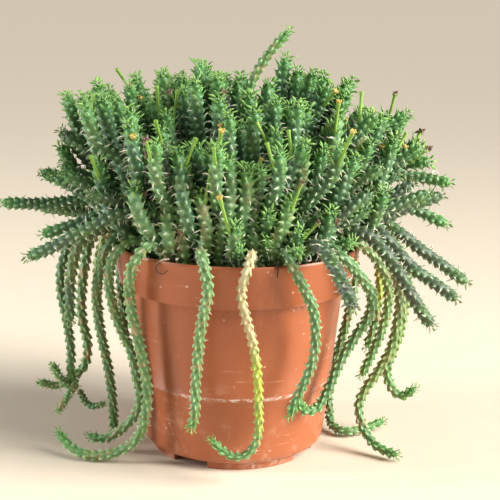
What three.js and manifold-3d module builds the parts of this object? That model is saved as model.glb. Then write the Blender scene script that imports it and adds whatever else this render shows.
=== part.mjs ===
// A medusa-head euphorbia in a plastic nursery pot. Millimetres, +Z up.
// The origin is on the pot's axis, at the surface that the foot ring stands on.
// -Y is the front.
import * as THREE from 'three';
import { mergeVertices } from 'three/addons/utils/BufferGeometryUtils.js';
import Module from 'manifold-3d';

const wasm = await Module();
wasm.setup();

// Pot
const POT_HEIGHT = 120;
const RIM_RADIUS = 70;
const RIM_BAND = 24;          // height of the rim band
const RIM_DRAFT = 4.5;        // how far the band leans in towards its lower edge
const RIM_OVERHANG = 4.5;     // how far the band's lower edge stands out from the wall
const WALL_DRAFT = 9;         // how far the wall leans in towards the bottom
const WALL = 1.8;
const FLOOR = 2.5;
const LINE_HEIGHT = 43.5;     // moulded line round the wall, above the table
const LINE_WIDTH = 1.6;
const LINE_PROUD = 0.4;
const FOOT_HEIGHT = 4.5;
const FOOT_WIDTH = 3;
const FOOT_INSET = 4.5;       // from the wall's bottom radius to the foot's outer face
const NOTCH_HEIGHT = 4;
const NOTCH_ANGLE = 27;
const FIRST_NOTCH = -120.5;   // azimuth of one notch's middle, in degrees
const NOTCH_COUNT = 4;
const DRAIN_RADIUS = 4;
const DRAIN_COUNT = 4;
const DRAIN_CIRCLE = 30;      // radius of the circle that the drain holes lie on
const POT_SIDES = 48;

// Soil and main stem
const SOIL_DEPTH_BELOW_RIM = 8;
const CAUDEX_RADIUS = 38;
const CAUDEX_RISE = 9;        // height of its dome above the soil
const CAUDEX_ROOT = 55;       // how deep it goes into the soil
const GAP = 0.3;              // clearance between pieces that touch

// Branches: radius at the thickest part and at the tip
const UPRIGHT = { radius: 4.2, tip: 2.9, sides: 7, step: 18 };
const SPREADING = { radius: 4.2, tip: 3.2, sides: 7, step: 14 };
const TRAILING = { radius: 3.3, tip: 2.5, sides: 7, step: 10 };

// The branch routes below are laid out round a pot and branches of these sizes. They move with the
// rim, the pot's height and the branches' thickness when those change.
const LAYOUT = { rimRadius: 70, potHeight: 120, upright: 4.2, spreading: 4.2, trailing: 3.3 };

const rimLow = POT_HEIGHT - RIM_BAND;
const rimLowRadius = RIM_RADIUS - RIM_DRAFT;
const wallTopRadius = rimLowRadius - RIM_OVERHANG;
const wallBottomRadius = wallTopRadius - WALL_DRAFT;
const footRadius = wallBottomRadius - FOOT_INSET;
const floorTop = FOOT_HEIGHT + FLOOR;
const soilTop = POT_HEIGHT - SOIL_DEPTH_BELOW_RIM;

const terracotta = { color: 0xb5643a, roughness: 0.5 };
const earth = { color: 0x2b2019, roughness: 0.95 };
const bark = { color: 0x6d6a4a, roughness: 0.85 };
const greens = {
  upright: { color: 0x2f6b47, roughness: 0.6 },
  spreading: { color: 0x3b6e4a, roughness: 0.65 },
  trailing: { color: 0x6a9560, roughness: 0.65 },
};

const plant = new THREE.Group();

function addPiece(name, geometry, { color, roughness, metalness = 0 }) {
  const mesh = new THREE.Mesh(geometry, new THREE.MeshStandardMaterial({ color, roughness, metalness }));
  mesh.name = name;
  plant.add(mesh);
}

function toSolid(geometry) {
  geometry.deleteAttribute('normal');
  geometry.deleteAttribute('uv');
  const merged = mergeVertices(geometry, 1e-4);
  return new wasm.Manifold(new wasm.Mesh({
    numProp: 3,
    vertProperties: Float32Array.from(merged.attributes.position.array),
    triVerts: Uint32Array.from(merged.index.array),
  }));
}

function toGeometry(solid) {
  const mesh = solid.getMesh();
  const geometry = new THREE.BufferGeometry();
  geometry.setAttribute('position', new THREE.BufferAttribute(mesh.vertProperties, 3));
  geometry.setIndex(new THREE.BufferAttribute(mesh.triVerts, 1));
  geometry.computeVertexNormals();
  return geometry;
}

// Turns a profile of [radius, height] pairs about Z.
function turned(profile) {
  const points = profile.map(([radius, height]) => new THREE.Vector2(radius, height));
  return new THREE.LatheGeometry(points, POT_SIDES).rotateX(Math.PI / 2);
}

// The wall's outer radius at a height between the foot and the rim band.
function wallRadius(height) {
  return wallBottomRadius + WALL_DRAFT * (height - FOOT_HEIGHT) / (rimLow - FOOT_HEIGHT);
}

// A slice of a ring, from below the table up to a height, to cut one notch in the foot.
function notchCutter(azimuth) {
  const half = THREE.MathUtils.degToRad(NOTCH_ANGLE / 2);
  const middle = THREE.MathUtils.degToRad(azimuth);
  const outline = new THREE.Shape();
  outline.absarc(0, 0, footRadius + FOOT_WIDTH, middle - half, middle + half, false);
  outline.absarc(0, 0, footRadius - 2 * FOOT_WIDTH, middle + half, middle - half, true);
  const depth = 2 * NOTCH_HEIGHT;
  const slice = new THREE.ExtrudeGeometry(outline, { depth, bevelEnabled: false, curveSegments: 4 });
  return toSolid(slice.translate(0, 0, NOTCH_HEIGHT - depth));
}

function drainCutter(azimuth) {
  const angle = THREE.MathUtils.degToRad(azimuth);
  const hole = new THREE.CylinderGeometry(DRAIN_RADIUS, DRAIN_RADIUS, 4 * FLOOR, 16);
  hole.rotateX(Math.PI / 2);
  hole.translate(DRAIN_CIRCLE * Math.cos(angle), DRAIN_CIRCLE * Math.sin(angle), FOOT_HEIGHT);
  return toSolid(hole);
}

function pot() {
  const lineLow = LINE_HEIGHT - LINE_WIDTH / 2;
  const lineHigh = LINE_HEIGHT + LINE_WIDTH / 2;
  const cornerHeight = FOOT_HEIGHT + FOOT_INSET;
  const profile = [
    [0, FOOT_HEIGHT],
    [footRadius - FOOT_WIDTH, FOOT_HEIGHT],
    [footRadius - FOOT_WIDTH, 0],
    [footRadius, 0],
    [footRadius, FOOT_HEIGHT],
  ];
  for (const turn of [30, 60, 90]) {
    const angle = THREE.MathUtils.degToRad(turn);
    const reach = wallRadius(cornerHeight) - footRadius;
    profile.push([footRadius + reach * Math.sin(angle), cornerHeight - FOOT_INSET * Math.cos(angle)]);
  }
  profile.push(
    [wallRadius(lineLow), lineLow],
    [wallRadius(LINE_HEIGHT) + LINE_PROUD, LINE_HEIGHT],
    [wallRadius(lineHigh), lineHigh],
    [wallTopRadius, rimLow],
    [rimLowRadius, rimLow],
    [RIM_RADIUS, POT_HEIGHT - WALL / 2],
    [RIM_RADIUS - WALL / 4, POT_HEIGHT],
    [RIM_RADIUS - WALL, POT_HEIGHT],
    [rimLowRadius - WALL, rimLow + WALL],
    [wallTopRadius - WALL, rimLow + WALL],
    [wallRadius(cornerHeight) - WALL, cornerHeight],
    [footRadius, floorTop],
    [0, floorTop],
  );
  let solid = toSolid(turned(profile));
  for (let i = 0; i < NOTCH_COUNT; i += 1) {
    solid = solid.subtract(notchCutter(FIRST_NOTCH + i * 360 / NOTCH_COUNT));
  }
  for (let i = 0; i < DRAIN_COUNT; i += 1) {
    solid = solid.subtract(drainCutter(i * 360 / DRAIN_COUNT));
  }
  return toGeometry(solid);
}

// The caudex's dome above the soil, at a distance from the axis.
function groundHeight(radius) {
  const share = Math.min(radius / CAUDEX_RADIUS, 1);
  return soilTop + CAUDEX_RISE * Math.sqrt(1 - share * share);
}

function caudex() {
  const profile = [[0, soilTop - CAUDEX_ROOT]];
  for (const turn of [20, 40, 60, 80]) {
    const angle = THREE.MathUtils.degToRad(turn);
    profile.push([CAUDEX_RADIUS * Math.sin(angle), soilTop - CAUDEX_ROOT * Math.cos(angle)]);
  }
  for (const share of [1, 0.94, 0.8, 0.55, 0.3, 0]) {
    profile.push([CAUDEX_RADIUS * share, groundHeight(CAUDEX_RADIUS * share)]);
  }
  return turned(profile);
}

// Fills the pot to its inside walls, round the caudex.
function soil() {
  const cornerHeight = FOOT_HEIGHT + FOOT_INSET;
  const profile = [
    [0, floorTop + GAP],
    [footRadius - GAP, floorTop + GAP],
    [wallRadius(cornerHeight) - WALL - GAP, cornerHeight + GAP],
    [wallTopRadius - WALL - GAP, rimLow + WALL + GAP],
    [rimLowRadius - WALL - GAP, rimLow + WALL + GAP],
    [rimLowRadius - WALL - GAP, soilTop],
    [CAUDEX_RADIUS + GAP, soilTop],
  ];
  for (const turn of [80, 60, 40, 20]) {
    const angle = THREE.MathUtils.degToRad(turn);
    const radius = (CAUDEX_RADIUS + 2 * GAP) * Math.sin(angle);
    profile.push([radius, soilTop - (CAUDEX_ROOT + 2 * GAP) * Math.cos(angle)]);
  }
  profile.push([0, soilTop - CAUDEX_ROOT - 2 * GAP]);
  return turned(profile);
}

// Moves a laid-out point with the pot: with the rim sideways, and with the rim's height.
function settled([x, y, z], swell) {
  const radius = Math.hypot(x, y);
  const beyondRim = radius > LAYOUT.rimRadius;
  const newRadius = beyondRim
    ? radius + RIM_RADIUS - LAYOUT.rimRadius + swell
    : radius * (RIM_RADIUS + swell) / LAYOUT.rimRadius;
  const newHeight = z > LAYOUT.potHeight
    ? z + POT_HEIGHT - LAYOUT.potHeight + swell
    : z * POT_HEIGHT / LAYOUT.potHeight + swell;
  return new THREE.Vector3(x * newRadius / radius, y * newRadius / radius, newHeight);
}

// The branch's curve, its foot set on the soil or the caudex with the usual clearance.
function branchCurve(route, { radius }, swell) {
  const points = route.map((point) => settled(point, swell));
  const foot = points[0];
  const ground = groundHeight(Math.max(0, Math.hypot(foot.x, foot.y) - radius));
  let curve;
  let lean = 0.5;
  for (let pass = 0; pass < 3; pass += 1) {
    foot.z = ground + GAP + radius * lean;
    curve = new THREE.CatmullRomCurve3(points, false, 'centripetal');
    const direction = curve.getTangentAt(0);
    lean = Math.hypot(direction.x, direction.y);
  }
  return curve;
}

// A tapered round branch with a domed tip, turned straight and then bent along its curve.
function branch(curve, { radius, tip, sides, step }) {
  const length = curve.getLength();
  const straight = length - tip;
  const steps = Math.max(3, Math.round(straight / step));
  const profile = [new THREE.Vector2(0, 0)];
  for (let i = 0; i <= steps; i += 1) {
    const share = i / steps;
    profile.push(new THREE.Vector2(radius + (tip - radius) * share * share, straight * share));
  }
  profile.push(new THREE.Vector2(tip * 0.7, length - tip * 0.3), new THREE.Vector2(0, length));
  const geometry = new THREE.LatheGeometry(profile, sides);
  const frameCount = 120;
  const frames = curve.computeFrenetFrames(frameCount, false);
  const position = geometry.attributes.position;
  const point = new THREE.Vector3();
  for (let i = 0; i < position.count; i += 1) {
    const share = Math.min(position.getY(i) / length, 1);
    const frame = Math.round(share * frameCount);
    point.copy(curve.getPointAt(share));
    point.addScaledVector(frames.binormals[frame], position.getX(i));
    point.addScaledVector(frames.normals[frame], position.getZ(i));
    position.setXYZ(i, point.x, point.y, point.z);
  }
  geometry.computeVertexNormals();
  return geometry;
}

function addBranches(kind, routes, shape) {
  const swell = shape.radius - LAYOUT[kind];
  for (const [name, route] of Object.entries(routes)) {
    addPiece(`${kind}_${name}`, branch(branchCurve(route, shape, swell), shape), greens[kind]);
  }
}

// Routes run from the foot to the tip as [x, y, z]. The foot's own height comes from the ground.
const trailing = {
  front_left: [[-16, -55, 113], [-18, -65, 126.5], [-16, -74.5, 121], [-14, -76, 109], [-16, -75, 97],
    [-18, -73, 84], [-19, -71, 70], [-20, -70, 56], [-20, -70, 43], [-22, -69, 33]],
  front_middle: [[8, -56, 113], [8, -66, 126.5], [6, -75, 121], [3, -76, 109], [5, -75, 97],
    [9, -73, 82], [12, -72, 64], [13, -71, 45], [13, -70, 30], [9, -69, 20], [2, -69, 17],
    [-5, -69, 20], [-11, -69, 26]],
  front_right: [[20, -51, 113], [25, -61, 126.5], [29, -69.5, 120.5], [35, -67, 109], [40, -64, 98],
    [42, -61, 86], [42, -60, 73], [39, -61, 61], [34, -61, 49], [30, -62, 38]],
  left_front: [[-36, -43, 113], [-43, -51, 127], [-52, -56, 120], [-56, -51, 104], [-55, -48, 89],
    [-52, -47, 75], [-49, -46, 60], [-47, -45, 44], [-48, -44, 30], [-52, -42, 17], [-61, -40, 8],
    [-74, -39, 4.2], [-86, -36, 4.8], [-94, -31, 9], [-98, -28, 13]],
  left_inner: [[-45, -30, 113], [-53, -40, 127], [-64, -42, 119.5], [-68, -38, 106], [-67, -35, 92],
    [-63, -33, 77], [-57, -32, 63], [-54, -32, 48], [-52, -32, 37], [-54, -31, 27], [-62, -28, 16],
    [-74, -23, 7.5], [-82, -20, 8]],
  left_middle: [[-48, -20, 113], [-60, -27, 127.5], [-70, -31, 120], [-74, -25, 107], [-77, -19, 94],
    [-77, -14, 78], [-75, -11, 62], [-72, -10, 46], [-70, -10, 31], [-69, -10, 17], [-69, -8, 8]],
  left_grey: [[-50, -8, 113], [-61, -17, 127], [-75, -22, 128], [-85, -25, 121], [-89, -25, 110],
    [-91, -25, 95], [-91, -25, 77]],
  left_outer: [[-51, 5, 113], [-64, 2, 125], [-79, -3, 125], [-91, -7, 119], [-97, -9, 107],
    [-98, -10, 90], [-95, -10, 73], [-93, -10, 55], [-93, -10, 41], [-90, -11, 33]],
  left_back: [[-49, 15, 113], [-62, 15, 125], [-76, 13, 124], [-84, 11, 114], [-87, 9, 101],
    [-89, 9, 85], [-89, 8, 70], [-86, 7, 56], [-86, 6, 47], [-89, 5, 39], [-95, 3, 35]],
  left_olive: [[-44, 27, 113], [-58, 30, 126], [-71, 31, 122], [-79, 30, 110], [-82, 28, 95],
    [-82, 27, 80], [-81, 26, 66]],
  left_rear: [[-37, 38, 113], [-49, 45, 126.5], [-60, 50, 121], [-67, 49, 107], [-70, 47, 92],
    [-70, 46, 76], [-68, 44, 60], [-67, 42, 46]],
  right_front: [[39, -38, 113], [46, -45, 127], [56, -51, 122], [63, -46, 114], [70, -41, 105],
    [74, -36, 96], [73, -34, 86], [67, -35, 76], [61, -36, 66], [56, -38, 56], [53, -39, 48],
    [49, -41, 40], [44, -44, 35], [38, -47, 36], [35, -49, 42]],
  right_inner: [[46, -24, 113], [57, -26, 126.5], [68, -27, 123], [77, -24, 115], [83, -21, 104],
    [85, -20, 91], [83, -20, 77], [78, -20, 62], [72, -20, 47]],
  right_middle: [[51, -8, 113], [62, -9, 126.5], [73, -10, 124], [82, -9, 116], [89, -8, 104],
    [93, -8, 88], [92, -8, 73], [89, -8, 58], [82, -9, 45], [75, -10, 34], [72, -12, 26],
    [73, -15, 18], [78, -21, 9], [85, -27, 5], [92, -32, 4.2]],
  right_outer: [[50, 11, 113], [62, 11, 125], [75, 10, 126], [88, 9, 120], [96, 8, 109],
    [99, 8, 94], [98, 8, 79], [96, 8, 64], [93, 8, 53], [90, 8, 43], [92, 8, 32], [98, 6, 26],
    [106, 4, 31]],
  right_yellow: [[45, 25, 113], [58, 27, 125], [71, 28, 123], [81, 27, 112], [85, 26, 96],
    [85, 25, 80], [83, 24, 64], [79, 23, 50]],
  right_rear: [[38, 37, 113], [50, 43, 126.5], [62, 46, 121], [70, 44, 107], [72, 41, 91],
    [70, 39, 73], [66, 37, 54], [61, 34, 37], [58, 30, 21], [58, 22, 9], [59, 12, 4.4],
    [65, 4, 4.2], [74, 6, 4.2], [82, 12, 4.4], [90, 16, 6]],
  back_left: [[-22, 51, 113], [-28, 61, 126.5], [-34, 70, 120], [-38, 73, 107], [-40, 72, 92],
    [-38, 70, 76], [-34, 70, 60], [-32, 71, 45], [-36, 72, 33]],
  back_middle: [[-2, 55, 113], [-3, 66, 126.5], [-4, 77, 121], [-4, 81, 108], [-2, 82, 92],
    [0, 80, 75], [3, 77, 58], [4, 75, 41], [1, 74, 26], [-6, 76, 14], [-14, 80, 6], [-24, 84, 4.2]],
  back_right: [[20, 51, 113], [26, 62, 126.5], [31, 72, 120.5], [35, 75, 107], [39, 75, 91],
    [41, 73, 74], [39, 70, 57], [37, 68, 44]],
};

const spreading = {
  left_low: [[-35, -31, 113], [-42, -36, 135], [-60, -42, 141], [-82, -43, 131], [-99, -42, 122],
    [-110, -41, 117]],
  left_near: [[-36, -20, 113], [-48, -25, 132], [-66, -29, 139], [-86, -31, 133], [-104, -30, 127]],
  left_long: [[-40, 6, 113], [-50, 3, 132], [-66, 2, 139], [-86, 1, 140], [-108, 0, 138],
    [-131, 0, 138]],
  left_high: [[-36, 17, 113], [-47, 19, 134], [-66, 22, 146], [-90, 22, 149], [-111, 21, 150]],
  front_grey: [[29, -40, 113], [36, -53, 127], [43, -66, 130], [49, -78, 124], [54, -88, 115],
    [58, -95, 107]],
  right_low: [[36, -29, 113], [48, -33, 131], [66, -38, 133], [82, -40, 119], [93, -40, 102],
    [100, -40, 91], [106, -40, 83]],
  right_near: [[41, -14, 113], [53, -16, 133], [70, -18, 135], [86, -21, 122], [96, -22, 111],
    [109, -22, 102], [122, -22, 93]],
  right_long: [[42, 2, 113], [55, 1, 133], [75, 0, 135], [92, 0, 125], [104, 0, 116],
    [117, 0, 107], [131, 0, 97]],
  right_middle: [[38, 11, 113], [49, 14, 134], [71, 18, 141], [96, 20, 137], [121, 18, 127]],
  right_high: [[34, 27, 113], [49, 31, 138], [73, 34, 150], [100, 34, 152], [124, 30, 149]],
  back_left: [[-22, 36, 113], [-31, 48, 134], [-42, 66, 141], [-53, 86, 135]],
  back_middle: [[4, 42, 113], [6, 54, 134], [10, 76, 140], [14, 96, 133]],
  back_right: [[25, 38, 113], [34, 50, 134], [48, 66, 143], [64, 82, 141]],
};

const upright = {
  left_outer: [[-31, -1, 113], [-43, 2, 138], [-68, 6, 158], [-88, 9, 175], [-96, 10, 197]],
  left_front: [[-27, -16, 113], [-37, -21, 143], [-57, -25, 164], [-75, -27, 178], [-81, -28, 196]],
  left_back: [[-26, 15, 113], [-37, 20, 146], [-58, 27, 168], [-72, 31, 183], [-75, 32, 199]],
  left_inner: [[-21, -5, 113], [-31, -6, 148], [-47, -8, 172], [-57, -9, 188], [-59, -9, 205]],
  left_rear: [[-17, 25, 113], [-23, 33, 148], [-36, 45, 172], [-45, 51, 188], [-46, 52, 204]],
  left_centre: [[-17, 9, 113], [-24, 13, 152], [-34, 16, 180], [-38, 17, 206]],
  centre_left: [[-11, -3, 113], [-14, -4, 160], [-18, -4, 195], [-22, -3, 217]],
  centre_back: [[-3, 18, 113], [-3, 23, 160], [-2, 29, 190], [1, 32, 208]],
  tallest: [[1, -2, 113], [1, -4, 160], [4, -6, 200], [13, -7, 220], [26, -7, 236]],
  centre_right: [[8, 9, 113], [14, 10, 160], [20, 11, 195], [26, 12, 220]],
  right_inner: [[19, -3, 113], [26, -3, 155], [38, -2, 185], [50, -1, 205]],
  right_centre: [[19, 11, 113], [29, 16, 150], [45, 21, 182], [64, 24, 207]],
  right_front: [[24, -17, 113], [32, -22, 145], [50, -26, 173], [73, -28, 193]],
  right_outer: [[31, 2, 113], [42, 2, 145], [66, 3, 172], [93, 5, 191]],
  right_side: [[31, -8, 113], [45, -11, 140], [72, -14, 161], [99, -16, 175]],
  right_far: [[27, 19, 113], [44, 23, 145], [77, 21, 159], [108, 12, 164]],
  right_rear: [[14, 25, 113], [21, 37, 148], [34, 48, 177], [50, 56, 194]],
  front_left: [[-23, -28, 113], [-30, -40, 136], [-38, -50, 152], [-42, -55, 166], [-42, -56, 180]],
  front_centre: [[-6, -30, 113], [-9, -43, 136], [-11, -54, 152], [-11, -59, 166], [-10, -60, 179]],
  front_middle: [[9, -29, 113], [13, -42, 136], [18, -53, 152], [21, -58, 164], [21, -59, 178]],
  front_right: [[22, -31, 113], [29, -40, 138], [40, -49, 154], [49, -53, 166], [52, -54, 180]],
  back_centre: [[-5, 33, 113], [-7, 45, 142], [-11, 59, 165], [-14, 71, 180]],
  back_right: [[14, 36, 113], [17, 50, 142], [23, 63, 165], [30, 73, 178]],
};

addPiece('pot', pot(), terracotta);
addPiece('soil', soil(), earth);
addPiece('caudex', caudex(), bark);
addBranches('trailing', trailing, TRAILING);
addBranches('spreading', spreading, SPREADING);
addBranches('upright', upright, UPRIGHT);

export default plant;
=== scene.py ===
import math
import random
from collections import namedtuple

import bpy
import numpy as np
from mathutils import Matrix, Vector


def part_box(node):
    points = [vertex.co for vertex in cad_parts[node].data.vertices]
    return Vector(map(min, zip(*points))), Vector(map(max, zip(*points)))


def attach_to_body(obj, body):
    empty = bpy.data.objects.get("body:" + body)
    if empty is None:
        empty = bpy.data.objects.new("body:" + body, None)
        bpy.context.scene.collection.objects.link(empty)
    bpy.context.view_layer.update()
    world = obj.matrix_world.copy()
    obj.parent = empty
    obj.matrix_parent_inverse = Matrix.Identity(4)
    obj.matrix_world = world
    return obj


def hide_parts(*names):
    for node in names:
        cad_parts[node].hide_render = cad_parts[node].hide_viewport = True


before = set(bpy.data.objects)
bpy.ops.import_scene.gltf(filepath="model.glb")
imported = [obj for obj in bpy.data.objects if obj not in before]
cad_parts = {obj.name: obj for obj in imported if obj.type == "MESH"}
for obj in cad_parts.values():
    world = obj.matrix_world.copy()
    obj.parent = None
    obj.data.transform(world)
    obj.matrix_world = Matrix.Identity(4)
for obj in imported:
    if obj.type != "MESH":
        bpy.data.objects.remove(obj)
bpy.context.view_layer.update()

MM = 0.001
RIM_RADIUS, _, RIM_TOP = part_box("pot")[1]
SOIL_RADIUS, _, SOIL_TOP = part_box("soil")[1]
CAUDEX_RADIUS, _, CAUDEX_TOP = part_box("caudex")[1]

TABLE_CLEARANCE = 0.0002

luck = random.Random(11)


# ---------------------------------------------------------------- working by hand

def clear_selection():
    if bpy.context.mode != "OBJECT":
        bpy.ops.object.mode_set(mode="OBJECT")
    bpy.ops.object.select_all(action="DESELECT")


def pick(*pieces):
    clear_selection()
    for piece in pieces:
        piece.select_set(True)
    bpy.context.view_layer.objects.active = pieces[0]


def start_editing(piece, mode="VERT"):
    pick(piece)
    bpy.ops.object.mode_set(mode="EDIT")
    bpy.ops.mesh.select_mode(type=mode)


def finish_editing():
    bpy.ops.object.mode_set(mode="OBJECT")


def apply_modifier(piece, kind, **settings):
    pick(piece)
    bpy.ops.object.modifier_add(type=kind)
    modifier = piece.modifiers[-1]
    for name, value in settings.items():
        setattr(modifier, name, value)
    bpy.ops.object.modifier_apply(modifier=modifier.name)


def close_open_ends():
    """Fills the last ring, which is still selected, and then the first one."""
    bpy.ops.mesh.edge_face_add()
    bpy.ops.mesh.select_all(action="DESELECT")
    bpy.ops.mesh.select_mode(type="EDGE")
    bpy.ops.mesh.select_non_manifold()
    bpy.ops.mesh.edge_face_add()
    bpy.ops.mesh.select_all(action="SELECT")
    bpy.ops.mesh.normals_make_consistent(inside=False)


def ring_stack(name, rings, sides, twist=0.0):
    """A round body drawn up ring by ring, each ring a (radius, height) pair."""
    clear_selection()
    radius, height = rings[0]
    bpy.ops.mesh.primitive_circle_add(vertices=sides, radius=radius, location=(0, 0, 0))
    piece = bpy.context.object
    piece.name = name
    start_editing(piece)
    bpy.ops.mesh.select_all(action="SELECT")
    bpy.ops.transform.translate(value=(0, 0, height))
    for next_radius, next_height in rings[1:]:
        rise = next_height - height
        bpy.ops.mesh.extrude_region_move(TRANSFORM_OT_translate={"value": (0, 0, rise)})
        scale = next_radius / radius
        middle = (0, 0, next_height)
        bpy.ops.transform.resize(value=(scale, scale, 1), center_override=middle)
        if twist:
            bpy.ops.transform.rotate(value=twist, orient_axis="Z", center_override=middle)
        radius, height = next_radius, next_height
    close_open_ends()
    finish_editing()
    return piece


def mark(piece, name, values):
    """Stores one number per vertex for the materials."""
    layer = piece.data.attributes.get(name) or piece.data.attributes.new(name, "FLOAT", "POINT")
    layer.data.foreach_set("value", np.asarray(values, dtype=np.float32))


def places(piece):
    flat = np.empty(len(piece.data.vertices) * 3, dtype=np.float32)
    piece.data.vertices.foreach_get("co", flat)
    return flat.reshape(-1, 3)


def put_places(piece, points):
    piece.data.vertices.foreach_set("co", np.asarray(points, dtype=np.float32).ravel())
    piece.data.update()


def copy_of(piece, name):
    twin = piece.copy()
    twin.data = piece.data.copy()
    twin.name = name
    bpy.context.scene.collection.objects.link(twin)
    return twin


def joined(name, pieces):
    pick(*pieces)
    if len(pieces) > 1:
        bpy.ops.object.join()
    piece = bpy.context.object
    piece.name = name
    return piece


def thrown_away(*pieces):
    for piece in pieces:
        bpy.data.objects.remove(piece, do_unlink=True)


def turned(degrees, axis="Z"):
    return Matrix.Rotation(math.radians(degrees), 4, axis)


def smooth(piece, angle=None):
    pick(piece)
    if angle is None:
        bpy.ops.object.shade_smooth()
    else:
        bpy.ops.object.shade_smooth_by_angle(angle=math.radians(angle))


# ---------------------------------------------------------------- materials

class Recipe:
    """A node material put together a step at a time."""

    def __init__(self, name):
        self.material = bpy.data.materials.new(name)
        self.material.use_nodes = True
        self.tree = self.material.node_tree
        self.shader = self.tree.nodes["Principled BSDF"]
        self.place = self.tree.nodes.new("ShaderNodeTexCoord").outputs["Object"]

    def link(self, value, socket):
        if isinstance(value, bpy.types.NodeSocket):
            self.tree.links.new(value, socket)
        elif value is not None:
            socket.default_value = value

    def set(self, **values):
        for name, value in values.items():
            self.link(value, self.shader.inputs[name.replace("_", " ")])

    def noise(self, scale, detail=4.0, rough=0.6, stretch=None):
        node = self.tree.nodes.new("ShaderNodeTexNoise")
        place = self.place
        if stretch:
            mapping = self.tree.nodes.new("ShaderNodeMapping")
            mapping.inputs["Scale"].default_value = stretch
            self.link(place, mapping.inputs["Vector"])
            place = mapping.outputs["Vector"]
        self.link(place, node.inputs["Vector"])
        node.inputs["Scale"].default_value = scale
        node.inputs["Detail"].default_value = detail
        node.inputs["Roughness"].default_value = rough
        return node.outputs["Fac"]

    def cells(self, scale):
        node = self.tree.nodes.new("ShaderNodeTexVoronoi")
        self.link(self.place, node.inputs["Vector"])
        node.inputs["Scale"].default_value = scale
        return node.outputs["Distance"]

    def marked(self, name):
        node = self.tree.nodes.new("ShaderNodeAttribute")
        node.attribute_name = name
        return node.outputs["Fac"]

    def between(self, value, low, high):
        """0 below low, 1 above high, smooth between. low may be the greater."""
        node = self.tree.nodes.new("ShaderNodeMapRange")
        node.interpolation_type = "SMOOTHSTEP"
        self.link(value, node.inputs["Value"])
        turned = low > high
        node.inputs["From Min"].default_value = min(low, high)
        node.inputs["From Max"].default_value = max(low, high)
        node.inputs["To Min"].default_value = 1.0 if turned else 0.0
        node.inputs["To Max"].default_value = 0.0 if turned else 1.0
        return node.outputs["Result"]

    def math(self, operation, a, b=None):
        node = self.tree.nodes.new("ShaderNodeMath")
        node.operation = operation
        self.link(a, node.inputs[0])
        self.link(b, node.inputs[1])
        return node.outputs[0]

    def times(self, a, b):
        return self.math("MULTIPLY", a, b)

    def height(self):
        node = self.tree.nodes.new("ShaderNodeSeparateXYZ")
        self.link(self.place, node.inputs[0])
        return node.outputs["Z"]

    def mix(self, amount, one, other):
        node = self.tree.nodes.new("ShaderNodeMix")
        node.data_type = "RGBA"
        self.link(amount, node.inputs["Factor"])
        self.link(one if isinstance(one, bpy.types.NodeSocket) else (*one, 1), node.inputs["A"])
        self.link(other if isinstance(other, bpy.types.NodeSocket) else (*other, 1), node.inputs["B"])
        return node.outputs["Result"]

    def over(self, colour, amount, strength, tint):
        """The colour with a tint laid over it, where and as strongly as told."""
        return self.mix(self.times(amount, strength), colour, tint)

    def rough(self, amount, low, high):
        """A roughness between two values."""
        return self.mix(amount, (low,) * 3, (high,) * 3)

    def bump(self, height, depth, strength=1.0, below=None):
        node = self.tree.nodes.new("ShaderNodeBump")
        node.inputs["Strength"].default_value = strength
        node.inputs["Distance"].default_value = depth
        self.link(height, node.inputs["Height"])
        self.link(below, node.inputs["Normal"])
        return node.outputs["Normal"]


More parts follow.
